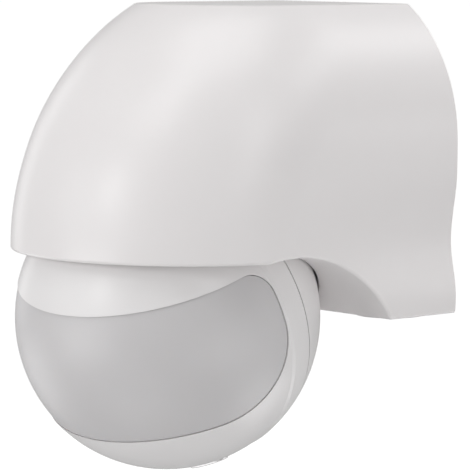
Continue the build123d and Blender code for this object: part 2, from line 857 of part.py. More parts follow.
with BuildPart() as fresnel_lens:
    add(ball_zone(lens_outer, flange_inner, -lens_gap))
    add(ball_zone(flange_outer, flange_inner, lens_flange))
    add(ball_zone(lens_outer - lens_thickness, flange_inner - 1, -lens_gap - lens_rim), mode=Mode.SUBTRACT)
save(fresnel_lens, "fresnel_lens")

with BuildPart() as lens_retainer:
    add(ball_zone(retainer_outer, retainer_inner, lens_flange))
    add(ball_zone(flange_inner, retainer_inner - 1, lens_flange - retainer_width), mode=Mode.SUBTRACT)
save(lens_retainer, "lens_retainer")

# ---------------------------------------------------------------- sensor board
with BuildPart() as sensor_board:
    with BuildSketch(facing_plane(board_f)):
        Circle(board_radius)
        with GridLocations(2 * board_screw_x, 2 * board_screw_u, 2, 2):
            Circle(screw_radius + screw_clear, mode=Mode.SUBTRACT)
    extrude(amount=board_thickness)
save(sensor_board, "sensor_board")

with BuildPart() as pyro_sensor:
    with BuildSketch(facing_plane(board_front_f)):
        Circle(can_radius + can_rim)
    extrude(amount=can_rim)
    with BuildSketch(facing_plane(board_front_f)):
        Circle(can_radius)
    extrude(amount=can_height)
    with BuildSketch(facing_plane(board_front_f + can_height)):
        Rectangle(*eye_size)
    extrude(amount=-eye_recess, mode=Mode.SUBTRACT)
save(pyro_sensor, "pyro_sensor")

with BuildPart() as pyro_window:
    with BuildSketch(facing_plane(board_front_f + can_height - eye_recess)):
        Rectangle(*eye_size)
    extrude(amount=eye_thickness)
save(pyro_window, "pyro_window")


def on_sensor_board(name, x, u, radius, height):
    """A round, domed component standing on the sensor board."""
    with BuildPart() as component:
        with BuildSketch(facing_plane(board_front_f)):
            with Locations((x, u)):
                Circle(radius)
        extrude(amount=height)
        tip = component.faces().sort_by(facing_axis)[-1]
        fillet(tip.edges(), 0.4 * radius)
    save(component, name)


on_sensor_board("light_sensor", -small_part_x, 0, light_sensor_radius, light_sensor_height)
on_sensor_board("status_light", small_part_x, 0, status_light_radius, status_light_height)

with BuildPart() as board_header:
    with BuildSketch(facing_plane(board_f)):
        with Locations((header_x, 0)):
            Rectangle(header_size[0], header_size[1])
    extrude(amount=-header_size[2])
save(board_header, "board_header")

# ---------------------------------------------------------------- tilt bracket, pin and washers
ear_inner = eye_half_width + friction_washer_thickness + axial_gap
bracket_back_f = board_f - bracket_thickness

with BuildPart() as tilt_bracket:
    with BuildSketch(facing_plane(bracket_back_f)):
        RectangleRounded(2 * board_screw_x + bracket_edge, 2 * board_screw_u + bracket_edge, 2)
        with GridLocations(2 * board_screw_x, 2 * board_screw_u, 2, 2):
            Circle(screw_radius + screw_clear, mode=Mode.SUBTRACT)
    extrude(amount=bracket_thickness)
    for side in (-1, 1):
        with BuildSketch(side_view.offset(side * ear_inner)):
            Circle(ear_half_height)
            with Locations((bracket_back_f / 2, 0)):
                Rectangle(bracket_back_f, 2 * ear_half_height)
            Circle(pin_radius, mode=Mode.SUBTRACT)
        extrude(amount=side * ear_thickness)
save(tilt_bracket, "tilt_bracket")

ear_outer = ear_inner + ear_thickness
with BuildPart() as tilt_pin:
    with BuildSketch(pin_plane):
        Circle(pin_radius)
    extrude(amount=ear_outer, both=True)
    for side in (-1, 1):
        with BuildSketch(pin_plane.offset(side * ear_outer)):
            Circle(pin_head_radius)
        extrude(amount=side * pin_head_thickness)
save(tilt_pin, "tilt_pin")

with BuildPart() as tilt_washers:
    for side in (-1, 1):
        with BuildSketch(pin_plane.offset(side * (eye_half_width + axial_gap))):
            Circle(friction_washer_radius)
            Circle(pin_radius + running_gap, mode=Mode.SUBTRACT)
        extrude(amount=side * friction_washer_thickness)
save(tilt_washers, "tilt_washers")

with BuildPart() as bracket_screws:
    with BuildSketch(facing_plane(bracket_back_f)):
        with GridLocations(2 * board_screw_x, 2 * board_screw_u, 2, 2):
            Circle(screw_head_radius)
    extrude(amount=-screw_head_thickness)
    with BuildSketch(facing_plane(bracket_back_f)):
        with GridLocations(2 * board_screw_x, 2 * board_screw_u, 2, 2):
            Circle(screw_radius)
    extrude(amount=bracket_thickness + board_thickness + screw_bite)
save(bracket_screws, "bracket_screws")

# ---------------------------------------------------------------- trimmers and adjusting knobs
with BuildPart() as trimmers:
    with BuildSketch(level_plane(trimmer_z)):
        with Locations(*knob_places):
            RectangleRounded(trimmer_size, trimmer_size, 0.5)
    extrude(amount=trimmer_height)
    with BuildSketch(level_plane(trimmer_z)):
        with Locations(*knob_places):
            Circle(knob_stem_radius + running_gap)
    extrude(amount=trimmer_bore, mode=Mode.SUBTRACT)
save(trimmers, "trimmers")

with BuildPart() as adjuster_board:
    with BuildSketch(level_plane(trimmer_z + trimmer_height)):
        with Locations((0, knob_back)):
            Rectangle(2 * knob_pitch + trimmer_size + board_edge, trimmer_size + board_edge)
    extrude(amount=board_thickness)
save(adjuster_board, "adjuster_board")

knob_back_z = pocket_top_z - axial_gap
for name, (x, y) in zip(("range_knob", "time_knob", "light_level_knob"), knob_places):
    knob_face_z = ball_z - math.sqrt(ball_radius**2 - x**2 - y**2) + knob_recess
    with BuildPart() as knob:
        with BuildSketch(level_plane(knob_face_z)):
            with Locations((x, y)):
                Circle(knob_radius)
        extrude(amount=knob_back_z - knob_face_z)
        fillet(knob.edges().group_by(Axis.Z)[0], 0.4)
        with BuildSketch(level_plane(knob_back_z)):
            with Locations((x, y)):
                Circle(knob_stem_radius)
        extrude(amount=pocket_floor + trimmer_bore - slot_gap)
        with BuildSketch(level_plane(knob_face_z)):
            with Locations((x, y)):
                Rectangle(2 * knob_radius + 1, knob_slot_width)
        extrude(amount=knob_slot_depth, mode=Mode.SUBTRACT)
    save(knob, name)
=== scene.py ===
"""Finishes, fine pieces and studio for a wall-mounted motion sensor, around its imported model.

The frame holds every moulded, turned and punched part. Here each gets the finish of its real
material, the boards get their solder and small components, and the studio is set up.
Everything is in metres, with +Z up and the front towards -Y.
"""

import json
import math

import bmesh
import bpy
from bpy.props import FloatProperty, FloatVectorProperty, PointerProperty
from mathutils import Matrix, Vector


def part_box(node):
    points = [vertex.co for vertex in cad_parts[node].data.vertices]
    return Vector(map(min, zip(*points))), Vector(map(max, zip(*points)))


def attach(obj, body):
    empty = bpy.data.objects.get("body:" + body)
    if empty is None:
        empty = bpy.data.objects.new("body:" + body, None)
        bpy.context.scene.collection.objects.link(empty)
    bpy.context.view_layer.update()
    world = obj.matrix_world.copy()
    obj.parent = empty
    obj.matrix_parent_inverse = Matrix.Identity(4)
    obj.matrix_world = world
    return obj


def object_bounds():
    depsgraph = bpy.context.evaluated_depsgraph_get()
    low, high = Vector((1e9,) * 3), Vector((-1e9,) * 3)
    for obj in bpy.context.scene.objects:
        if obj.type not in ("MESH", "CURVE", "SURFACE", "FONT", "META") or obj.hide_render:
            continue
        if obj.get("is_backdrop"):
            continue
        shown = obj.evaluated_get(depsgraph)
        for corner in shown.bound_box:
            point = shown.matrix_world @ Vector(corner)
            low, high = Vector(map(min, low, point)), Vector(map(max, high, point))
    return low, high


bl_info = {
    "name": "Wall Motion Sensor",
    "version": (1, 0, 0),
    "blender": (4, 5, 0),
    "location": "View3D > Sidebar > Motion Sensor",
    "description": "Finishes, fine pieces and studio for a wall-mounted motion sensor",
    "category": "Object",
}

MM = 0.001
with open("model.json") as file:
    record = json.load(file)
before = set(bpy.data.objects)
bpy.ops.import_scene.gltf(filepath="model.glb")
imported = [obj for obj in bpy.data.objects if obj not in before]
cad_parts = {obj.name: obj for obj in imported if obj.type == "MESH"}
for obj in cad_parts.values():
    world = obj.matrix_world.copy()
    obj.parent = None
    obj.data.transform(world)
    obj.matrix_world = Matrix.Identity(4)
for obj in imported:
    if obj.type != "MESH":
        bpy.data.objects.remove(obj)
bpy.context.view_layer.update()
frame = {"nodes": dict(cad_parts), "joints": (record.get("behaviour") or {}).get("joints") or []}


# ------------------------------------------------------------------------------ helpers
def linear(code):
    """The linear colour, with alpha, of an sRGB hex value."""
    channels = [int(code[i : i + 2], 16) / 255 for i in (0, 2, 4)]
    return (*((c / 12.92 if c <= 0.04045 else ((c + 0.055) / 1.055) ** 2.4) for c in channels), 1.0)


def shade(colour, amount):
    """The same colour made lighter or darker by a factor."""
    return (*(min(1.0, c * amount) for c in colour[:3]), 1.0)


def away_from(azimuth, elevation):
    """The direction at an azimuth, to the right of the front, and an elevation, in radians."""
    level = math.cos(elevation)
    return Vector((math.sin(azimuth) * level, -math.cos(azimuth) * level, math.sin(elevation)))


def add_node(tree, kind, inputs=None, links=None, **settings):
    """Adds a node with its settings, its inputs' values and the outputs that its inputs take."""
    node = tree.nodes.new(kind)
    for name, value in settings.items():
        setattr(node, name, value)
    for socket, value in (inputs or {}).items():
        node.inputs[socket].default_value = value
    for socket, source in (links or {}).items():
        tree.links.new(source, node.inputs[socket])
    return node


def new_material(name):
    """An empty node material and its tree."""
    material = bpy.data.materials.new(name)
    material.use_nodes = True
    material.node_tree.nodes.clear()
    return material, material.node_tree


def dress(material, *nodes):
    """Gives CAD nodes a material."""
    for name in nodes:
        mesh = frame["nodes"][name].data
        mesh.materials.clear()
        mesh.materials.append(material)
        material.diffuse_color = material.get("shown_colour", (0.8, 0.8, 0.8, 1.0))


def moulded_plastic(name, colour, roughness, ior, grain, relief, flow=14 * MM, gloss_change=0.02):
    """Injection-moulded plastic: an even colour with faint flow clouds, and the tool's grain."""
    material, tree = new_material(name)
    place = add_node(tree, "ShaderNodeTexCoord").outputs["Object"]
    clouds = add_node(
        tree, "ShaderNodeTexNoise", {"Scale": 1 / flow, "Detail": 3.0}, {"Vector": place}
    ).outputs["Fac"]
    tint = add_node(
        tree,
        "ShaderNodeMix",
        {6: shade(colour, 0.975), 7: shade(colour, 1.01)},
        {0: clouds},
        data_type="RGBA",
    ).outputs[2]
    gloss = add_node(
        tree,
        "ShaderNodeMapRange",
        {"To Min": roughness - gloss_change, "To Max": roughness + gloss_change},
        {"Value": clouds},
    ).outputs["Result"]
    texture = add_node(
        tree,
        "ShaderNodeTexNoise",
        {"Scale": 1 / grain, "Detail": 2.0, "Roughness": 0.6},
        {"Vector": place},
    ).outputs["Fac"]
    bump = add_node(
        tree, "ShaderNodeBump", {"Strength": 1.0, "Distance": relief}, {"Height": texture}
    ).outputs["Normal"]
    surface = add_node(
        tree,
        "ShaderNodeBsdfPrincipled",
        {"IOR": ior},
        {"Base Color": tint, "Roughness": gloss, "Normal": bump},
    )
    add_node(tree, "ShaderNodeOutputMaterial", links={"Surface": surface.outputs["BSDF"]})
    material["shown_colour"] = colour
    return material


def plated_metal(name, colour, roughness, grain, relief):
    """Turned, punched or plated metal: a fine drawn grain and uneven gloss."""
    material, tree = new_material(name)
    place = add_node(tree, "ShaderNodeTexCoord").outputs["Object"]
    drawn = add_node(
        tree, "ShaderNodeMapping", {"Scale": (1.0, 1.0, 0.15)}, {"Vector": place}
    ).outputs["Vector"]
    lines = add_node(
        tree, "ShaderNodeTexNoise", {"Scale": 1 / grain, "Detail": 4.0}, {"Vector": drawn}
    ).outputs["Fac"]
    tint = add_node(
        tree,
        "ShaderNodeMix",
        {6: shade(colour, 0.85), 7: shade(colour, 1.05)},
        {0: lines},
        data_type="RGBA",
    ).outputs[2]
    gloss = add_node(
        tree,
        "ShaderNodeMapRange",
        {"To Min": roughness * 0.75, "To Max": roughness * 1.3},
        {"Value": lines},
    ).outputs["Result"]
    bump = add_node(
        tree, "ShaderNodeBump", {"Strength": 0.6, "Distance": relief}, {"Height": lines}
    ).outputs["Normal"]
    surface = add_node(
        tree,
        "ShaderNodeBsdfPrincipled",
        {"Metallic": 1.0},
        {"Base Color": tint, "Roughness": gloss, "Normal": bump},
    )
    add_node(tree, "ShaderNodeOutputMaterial", links={"Surface": surface.outputs["BSDF"]})
    material["shown_colour"] = colour
    return material


def new_piece(name, build, materials, body):
    """A piece of its own: build fills its mesh, and it rides on a CAD body."""
    form = bmesh.new()
    build(form)
    bmesh.ops.recalc_face_normals(form, faces=form.faces)
    mesh = bpy.data.meshes.new(name)
    form.to_mesh(mesh)
    form.free()
    for material in materials:
        mesh.materials.append(material)
    piece = bpy.data.objects.new(name, mesh)
    bpy.context.scene.collection.objects.link(piece)
    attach(piece, body)
    return piece


def add_block(form, place, size, edge, finish=0):
    """A block with rounded edges, centred on a place's origin, of one of the piece's materials."""
    corner = Matrix.Diagonal((*size, 1.0))
    made = bmesh.ops.create_cube(form, size=1.0, matrix=place @ corner)
    faces = {face for vertex in made["verts"] for face in vertex.link_faces}
    for face in faces:
        face.material_index = finish
    edges = {line for vertex in made["verts"] for line in vertex.link_edges}
    bmesh.ops.bevel(form, geom=list(edges), offset=edge, segments=2, profile=0.7, affect="EDGES")


def add_turned(form, place, profile, sides=20):
    """A turned form about a place's z: profile is (radius, height) pairs, closed by its ends."""
    rings = []
    for radius, height in profile:
        ring = []
        for i in range(sides):
            turn = 2 * math.pi * i / sides
            point = Vector((radius * math.cos(turn), radius * math.sin(turn), height))
            ring.append(form.verts.new(place @ point))
        rings.append(ring)
    faces = [form.faces.new(rings[0]), form.faces.new(rings[-1])]
    for low, high in zip(rings, rings[1:]):
        for i in range(sides):
            j = (i + 1) % sides
            faces.append(form.faces.new((low[i], low[j], high[j], high[i])))
    for face in faces:
        face.smooth = True


def axes_at(point, across, along, out):
    """A place with its x, y and z along three directions."""
    turn = Matrix((across, along, out)).transposed().to_4x4()
    return Matrix.Translation(point) @ turn


# ------------------------------------------------------------------------- the head's own axes
joints = {joint["name"]: joint for joint in frame["joints"]}
ball_centre = Vector(joints["head_tilt"]["pos_m"])
head_right = Vector(joints["head_tilt"]["axis"])
head_back = Vector((0, 0, 1)).cross(head_right)
ball_radius = max((v.co - ball_centre).length for v in frame["nodes"]["head_rear_shell"].data.vertices)
eye_low, eye_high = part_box("pyro_window")
head_facing = ((eye_low + eye_high) / 2 - ball_centre).normalized()
head_up = head_right.cross(head_facing)


# ------------------------------------------------------------------------- user's values
def colour_property(name, description, code):
    """A colour that the user can change; code is its sRGB hex value."""
    return FloatVectorProperty(
        name=name,
        description=description,
        subtype="COLOR",
        size=4,
        min=0.0,
        max=1.0,
        default=linear(code),
    )


def fine_length(name, description, millimetres):
    """A length of a tenth of a millimetre or so that the user can change."""
    return FloatProperty(
        name=name,
        description=description,
        default=millimetres * MM,
        precision=5,
        unit="LENGTH",
    )


class SensorColours(bpy.types.PropertyGroup):
    """Colours of the sensor's materials."""

    housing: colour_property("Housing", "ASA of the housing and wall plate", "EAE7E7")
    head: colour_property("Head", "ASA of the ball-shaped head's two shells", "E9E7E7")
    lens: colour_property("Lens", "Milky polyethylene of the lens", "CECCCD")
    inner: colour_property("Inner parts", "Natural ABS of the parts inside", "DEDDD8")
    knob: colour_property("Knobs", "Adjusting knobs", "E2E2E0")
    rubber: colour_property("Seals", "EPDM of the seals and grommet", "24262A")
    zinc: colour_property("Screws", "Zinc-plated steel", "C3C7CA")
    spring: colour_property("Springs and pin", "Bright spring steel", "B4B6B8")
    brass: colour_property("Clamps", "Plain brass of the terminal clamps", "C9A45A")
    terminal: colour_property("Terminal block", "Grey polyamide", "C4C6C2")
    board: colour_property("Boards", "Green solder mask", "1F5B3A")
    black: colour_property("Dark components", "Black moulded epoxy", "1D1E20")
    film: colour_property("Film capacitor", "Yellow PBT box", "C99A2E")
    surge: colour_property("Surge disc", "Blue dipped epoxy", "2B4A8C")
    acetal: colour_property("Bushes", "White acetal", "EEEDE6")
    can: colour_property("Sensor can", "Nickel-plated can", "C2BDAF")
    filter: colour_property("Sensor window", "Dark coated silicon", "17181F")
    clear: colour_property("Light sensor", "Clear cast epoxy", "D6D9DC")
    red: colour_property("Status light", "Red cast epoxy", "B0201C")
    trimmer: colour_property("Trimmers", "Blue PBT bodies", "2C5591")
    solder: colour_property("Solder", "Tin-silver-copper solder", "CBCCCE")
    ceramic: colour_property("Chips", "Sintered ceramic of the chip parts", "7A5A45")
    floor: colour_property("Floor", "Paper of the floor", "F4F4F3")


class SensorSizes(bpy.types.PropertyGroup):
    """Sizes of the finishes."""

    housing_grain: fine_length(
        "Housing grain", "Spacing of the spark-eroded grain on the housing", 0.35
    )
    head_grain: fine_length("Head grain", "Spacing of the finer grain on the head's shells", 0.25)
    inner_grain: fine_length(
        "Inner grain", "Spacing of the machined tool marks on hidden mouldings", 0.5
    )
    scale_radius: fine_length(
        "Dial scale radius", "Inner radius of the scale moulded round each knob", 3.62
    )
    scale_width: fine_length("Dial scale width", "Width of the scale at its wide end", 0.32)
    scale_relief: fine_length("Dial scale relief", "How far the scale stands off the head", 0.1)
    arrow_relief: fine_length("Arrow relief", "Height of the arrow on each knob", 0.2)
    lens_array_depth: fine_length(
        "Lens array depth", "From the ball's surface in to the array of small lenses", 1.95
    )
    lenslet_bulge: fine_length("Small lens bulge", "How far each small lens bulges inwards", 0.3)


class StudioSettings(bpy.types.PropertyGroup):
    """Where the camera and the floor are."""

    camera_azimuth: FloatProperty(
        name="Camera azimuth",
        description="How far round to the right of the front the camera stands",
        default=math.radians(48.73),
        subtype="ANGLE",
    )
    camera_elevation: FloatProperty(
        name="Camera elevation",
        description="How far above the level of the target the camera stands",
        default=math.radians(5.47),
        subtype="ANGLE",
    )
    camera_distance: FloatProperty(
        name="Camera distance",
        description="From the camera to its target",
        default=616.42 * MM,
        unit="LENGTH",
    )
    camera_roll: FloatProperty(
        name="Camera roll",
        description="Turn of the camera about its own line of sight",
        default=math.radians(0.29),
        subtype="ANGLE",
    )
    camera_lens: FloatProperty(
        name="Camera lens",
        description="Focal length on a 36 mm sensor",
        default=227.34,
        unit="CAMERA",
    )
    camera_shift: FloatVectorProperty(
        name="Camera shift",
        description="Sideways and upward shift of the picture",
        size=2,
        default=(0.00226, -0.01766),
    )
    camera_target: FloatVectorProperty(
        name="Camera target",
        description="Point that the camera looks at",
        subtype="XYZ",
        unit="LENGTH",
        default=(0.0, -30 * MM, -15 * MM),
    )
    floor_drop: FloatProperty(
        name="Floor drop",
        description="From the lowest point of the sensor down to the floor",
        default=260 * MM,
        unit="LENGTH",
    )


# ------------------------------------------------------------------------------- pieces
class MOTION_SENSOR_OT_housing(bpy.types.Operator):
    """Gives the housing hood and the wall plate their moulded finish."""

    bl_idname = "motion_sensor.housing"
    bl_label = "Housing"

    def execute(self, context):
        colours, sizes = context.scene.sensor_colours, context.scene.sensor_sizes
        # ASA moulded in a spark-eroded tool: soft satin with a fine even grain, so that
        # highlights spread wide. The real grain is under 0.1 mm and is drawn coarser here.
        asa = moulded_plastic(
            "asa_spark_eroded",
            tuple(colours.housing),
            roughness=0.31,
            ior=1.51,
            grain=sizes.housing_grain,
            relief=0.010 * MM,
        )
        dress(asa, "housing_hood", "wall_plate")
        return {"FINISHED"}


class MOTION_SENSOR_OT_head(bpy.types.Operator):
    """Gives the head's two shells their moulded finish."""

    bl_idname = "motion_sensor.head"
    bl_label = "Head shells"

    def execute(self, context):
        colours, sizes = context.scene.sensor_colours, context.scene.sensor_sizes
        # ASA from a finer spark-eroded tool: a little smoother and glossier than the hood.
        asa = moulded_plastic(
            "asa_fine_spark_eroded",
            tuple(colours.head),
            roughness=0.31,
            ior=1.51,
            grain=sizes.head_grain,
            relief=0.006 * MM,
        )
        dress(asa, "head_front_shell", "head_rear_shell")
        return {"FINISHED"}


class MOTION_SENSOR_OT_lens(bpy.types.Operator):
    """Gives the lens its milky polyethylene."""

    bl_idname = "motion_sensor.lens"
    bl_label = "Lens"

    def execute(self, context):
        colours = context.scene.sensor_colours
        # HDPE sheet, moulded smooth outside: greyer than the shells because light goes in
        # and is lost behind it, with a soft waxy sheen.
        material, tree = new_material("hdpe_milky_moulded")
        place = add_node(tree, "ShaderNodeTexCoord").outputs["Object"]
        clouds = add_node(
            tree, "ShaderNodeTexNoise", {"Scale": 1 / (18 * MM), "Detail": 2.0}, {"Vector": place}
        ).outputs["Fac"]
        milk = tuple(colours.lens)
        tint = add_node(
            tree,
            "ShaderNodeMix",
            {6: shade(milk, 0.95), 7: shade(milk, 1.03)},
            {0: clouds},
            data_type="RGBA",
        ).outputs[2]
        ripple = add_node(
            tree, "ShaderNodeTexNoise", {"Scale": 1 / (1.2 * MM), "Detail": 1.0}, {"Vector": place}
        ).outputs["Fac"]
        bump = add_node(
            tree, "ShaderNodeBump", {"Strength": 0.5, "Distance": 0.004 * MM}, {"Height": ripple}
        ).outputs["Normal"]
        surface = add_node(
            tree,
            "ShaderNodeBsdfPrincipled",
            {
                "Roughness": 0.4,
                "IOR": 1.54,
                "Subsurface Weight": 0.25,
                "Subsurface Radius": (1.0, 0.9, 0.8),
                "Subsurface Scale": 1.2 * MM,
            },
            {"Base Color": tint, "Normal": bump},
        )
        add_node(tree, "ShaderNodeOutputMaterial", links={"Surface": surface.outputs["BSDF"]})
        material["shown_colour"] = milk
        dress(material, "fresnel_lens")
        return {"FINISHED"}


class MOTION_SENSOR_OT_inner_mouldings(bpy.types.Operator):
    """Gives the mouldings inside, the bushes and the knobs their plastics."""

    bl_idname = "motion_sensor.inner_mouldings"
    bl_label = "Inner mouldings, bushes and knobs"

    def execute(self, context):
        colours, sizes = context.scene.sensor_colours, context.scene.sensor_sizes
        # Natural ABS from a plainly machined tool: slightly warm, even and dull.
        abs_natural = moulded_plastic(
            "abs_natural_moulded", tuple(colours.inner), 0.5, 1.53, sizes.inner_grain, 0.006 * MM
        )
        dress(abs_natural, "bearing_plate", "neck", "lens_retainer", "tilt_bracket")
        # Acetal: smooth, a little glossy and faintly creamy.
        acetal = moulded_plastic(
            "acetal_moulded", tuple(colours.acetal), 0.28, 1.48, 0.8 * MM, 0.002 * MM
        )
        dress(acetal, "pan_bush", "retaining_ring", "tilt_washers")
        # ASA knobs: the shell's plastic, a touch greyer from handling.
        knob = moulded_plastic(
            "asa_moulded_knob", tuple(colours.knob), 0.4, 1.51, sizes.head_grain, 0.005 * MM
        )
        dress(knob, "range_knob", "time_knob", "light_level_knob")
        return {"FINISHED"}


class MOTION_SENSOR_OT_seals(bpy.types.Operator):
    """Gives the seals and the cable grommet their rubber."""

    bl_idname = "motion_sensor.seals"
    bl_label = "Seals and grommet"

    def execute(self, context):
        colours = context.scene.sensor_colours
        # EPDM rubber: near black, dull, with a faint bloom in patches.
        rubber = moulded_plastic(
            "epdm_moulded", tuple(colours.rubber), 0.72, 1.5, 0.3 * MM, 0.012 * MM, 6 * MM, 0.1
        )
        dress(rubber, "wall_seal", "cable_grommet", "head_seal")
        return {"FINISHED"}


class MOTION_SENSOR_OT_metal_parts(bpy.types.Operator):
    """Gives screws, pin, washers and clamps their metals."""

    bl_idname = "motion_sensor.metal_parts"
    bl_label = "Screws, pin, washer and clamps"

    def execute(self, context):
        colours = context.scene.sensor_colours
        # Zinc-plated steel: cool grey, half bright, with fine thread-rolling lines.
        zinc = plated_metal("steel_zinc_plated", tuple(colours.zinc), 0.32, 0.25 * MM, 0.003 * MM)
        dress(
            zinc,
            "hood_screws",
            "terminal_screws",
            "power_board_screws",
            "bearing_screws",
            "shell_screws",
            "bracket_screws",
        )
        # Spring steel, bright drawn: darker and smoother than the plating.
        spring = plated_metal(
            "spring_steel_drawn", tuple(colours.spring), 0.24, 0.2 * MM, 0.002 * MM
        )
        dress(spring, "wave_washer", "tilt_pin")
        # Brass, punched: warm yellow with a light handling dullness.
        brass = plated_metal("brass_punched", tuple(colours.brass), 0.3, 0.3 * MM, 0.002 * MM)
        dress(brass, "terminal_clamps")
        # Nickel-plated can, drawn: warm grey and bright.
        nickel = plated_metal("nickel_plated_can", tuple(colours.can), 0.2, 0.2 * MM, 0.001 * MM)
        dress(nickel, "pyro_sensor")
        return {"FINISHED"}


class MOTION_SENSOR_OT_electronics(bpy.types.Operator):
    """Gives the boards and their components their finishes."""

    bl_idname = "motion_sensor.electronics"
    bl_label = "Boards and components"

    def execute(self, context):
        colours = context.scene.sensor_colours
        # Solder mask over glass-epoxy board: glossy green with paler lines over the copper.
        material, tree = new_material("fr4_solder_mask")
        place = add_node(tree, "ShaderNodeTexCoord").outputs["Object"]
        tracks = add_node(
            tree,
            "ShaderNodeTexVoronoi",
            {"Scale": 1 / (2.54 * MM)},
            {"Vector": place},
            feature="DISTANCE_TO_EDGE",
        ).outputs["Distance"]
        track = add_node(
            tree,
            "ShaderNodeMapRange",
            {"From Min": 0.06, "From Max": 0.09, "To Min": 1.0, "To Max": 0.0},
            {"Value": tracks},
        ).outputs["Result"]
        green = tuple(colours.board)
        tint = add_node(
            tree,
            "ShaderNodeMix",
            {6: green, 7: shade(green, 1.6)},
            {0: track},
            data_type="RGBA",
        ).outputs[2]
        bump = add_node(
            tree, "ShaderNodeBump", {"Strength": 0.7, "Distance": 0.02 * MM}, {"Height": track}
        ).outputs["Normal"]
        surface = add_node(
            tree,
            "ShaderNodeBsdfPrincipled",
            {"Roughness": 0.28, "IOR": 1.55},
            {"Base Color": tint, "Normal": bump},
        )
        add_node(tree, "ShaderNodeOutputMaterial", links={"Surface": surface.outputs["BSDF"]})
        material["shown_colour"] = green
        dress(material, "power_board", "sensor_board", "adjuster_board")
        finishes = (
            # name, colour, roughness, IOR, grain, relief, nodes
            # Moulded black epoxy: even, half dull.
            ("epoxy_moulded_black", colours.black, 0.36, 1.55, 0.25 * MM, 0.006 * MM,
             ("relay", "smoothing_capacitor", "board_header")),
            # Boxed film capacitor: PBT, smooth and waxy.
            ("pbt_box_moulded", colours.film, 0.34, 1.57, 0.4 * MM, 0.003 * MM,
             ("film_capacitor",)),
            # Epoxy dipped over a disc: glossy and slightly lumpy.
            ("epoxy_dipped_blue", colours.surge, 0.2, 1.55, 2.0 * MM, 0.05 * MM,
             ("surge_disc",)),
            # Grey polyamide: dull and a little uneven.
            ("polyamide_moulded_grey", colours.terminal, 0.5, 1.53, 0.4 * MM, 0.008 * MM,
             ("terminal_block",)),
            # Blue PBT trimmers: crisp and dull.
            ("pbt_moulded_blue", colours.trimmer, 0.4, 1.57, 0.3 * MM, 0.004 * MM,
             ("trimmers",)),
            # Coated silicon: dark and nearly mirror smooth.
            ("silicon_coated", colours.filter, 0.08, 1.9, 1.0 * MM, 0.0005 * MM,
             ("pyro_window",)),
            # Red diffused epoxy.
            ("epoxy_cast_red", colours.red, 0.12, 1.55, 1.0 * MM, 0.001 * MM,
             ("status_light",)),
            # Clear epoxy, water-white but for its chip.
            ("epoxy_cast_clear", colours.clear, 0.08, 1.55, 1.0 * MM, 0.001 * MM,
             ("light_sensor",)),
        )
        for name, colour, roughness, ior, grain, relief, nodes in finishes:
            dress(moulded_plastic(name, tuple(colour), roughness, ior, grain, relief), *nodes)
        return {"FINISHED"}


class MOTION_SENSOR_OT_dials(bpy.types.Operator):
    """Moulds a widening scale round each adjusting knob, and an arrow on its face."""

    bl_idname = "motion_sensor.dials"
    bl_label = "Dial scales and arrows"

    def execute(self, context):
        sizes = context.scene.sensor_sizes
        sweep, steps = math.radians(270), 54
        narrow_end = 0.2  # share of the scale's full width where it starts
        sunk, chamfer, arrow_sunk = 0.1 * MM, 0.03 * MM, 0.03 * MM

        def under_ball(x, y, lift):
            height = math.sqrt((ball_radius + lift) ** 2 - x**2 - y**2)
            return ball_centre + x * head_right + y * head_back - Vector((0, 0, height))

        def scale(form, x, y):
            sections = []
            for i in range(steps + 1):
                part_way = i / steps
                turn = -math.pi / 2 - sweep / 2 + sweep * part_way
                across, back = math.cos(turn), math.sin(turn)
                width = sizes.scale_width * (narrow_end + (1 - narrow_end) * part_way)
                outer = sizes.scale_radius + width
                section = []
                for radius, lift in (
                    (sizes.scale_radius, -sunk),
                    (sizes.scale_radius + chamfer, sizes.scale_relief),
                    (outer - chamfer, sizes.scale_relief),
                    (outer, -sunk),
                ):
                    point = under_ball(x + radius * across, y + radius * back, lift)
                    section.append(form.verts.new(point))
                sections.append(section)
            form.faces.new(sections[0])
            form.faces.new(sections[-1])
            for one, two in zip(sections, sections[1:]):
                for i in range(4):
                    j = (i + 1) % 4
                    form.faces.new((one[i], one[j], two[j], two[i]))

        shell = bpy.data.materials["asa_fine_spark_eroded"]
        knob = bpy.data.materials["asa_moulded_knob"]
        for name in ("range_knob", "time_knob", "light_level_knob"):
            centre = Vector(joints[name + "_turn"]["pos_m"]) - ball_centre
            x, y = centre.dot(head_right), centre.dot(head_back)
            new_piece(
                name + "_scale", lambda form: scale(form, x, y), [shell], "head"
            )
            face_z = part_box(name)[0].z
            middle = ball_centre + x * head_right + y * head_back
            middle.z = face_z - sizes.arrow_relief / 2 + arrow_sunk

            def arrow(form):
                tip, root, half, notch = -2.6 * MM, -1.1 * MM, 0.7 * MM, 0.3 * MM
                outline = ((0, tip), (half, root), (0, root - notch), (-half, root))
                faces = []
                for level in (-sizes.arrow_relief / 2, sizes.arrow_relief / 2):
                    corners = [
                        form.verts.new(middle + a * head_right + b * head_back + Vector((0, 0, level)))
                        for a, b in outline
                    ]
                    faces.append(corners)
                    form.faces.new(corners)
                for i in range(4):
                    j = (i + 1) % 4
                    form.faces.new((faces[0][i], faces[0][j], faces[1][j], faces[1][i]))

            new_piece(name + "_arrow", arrow, [knob], name + "_body")
        return {"FINISHED"}


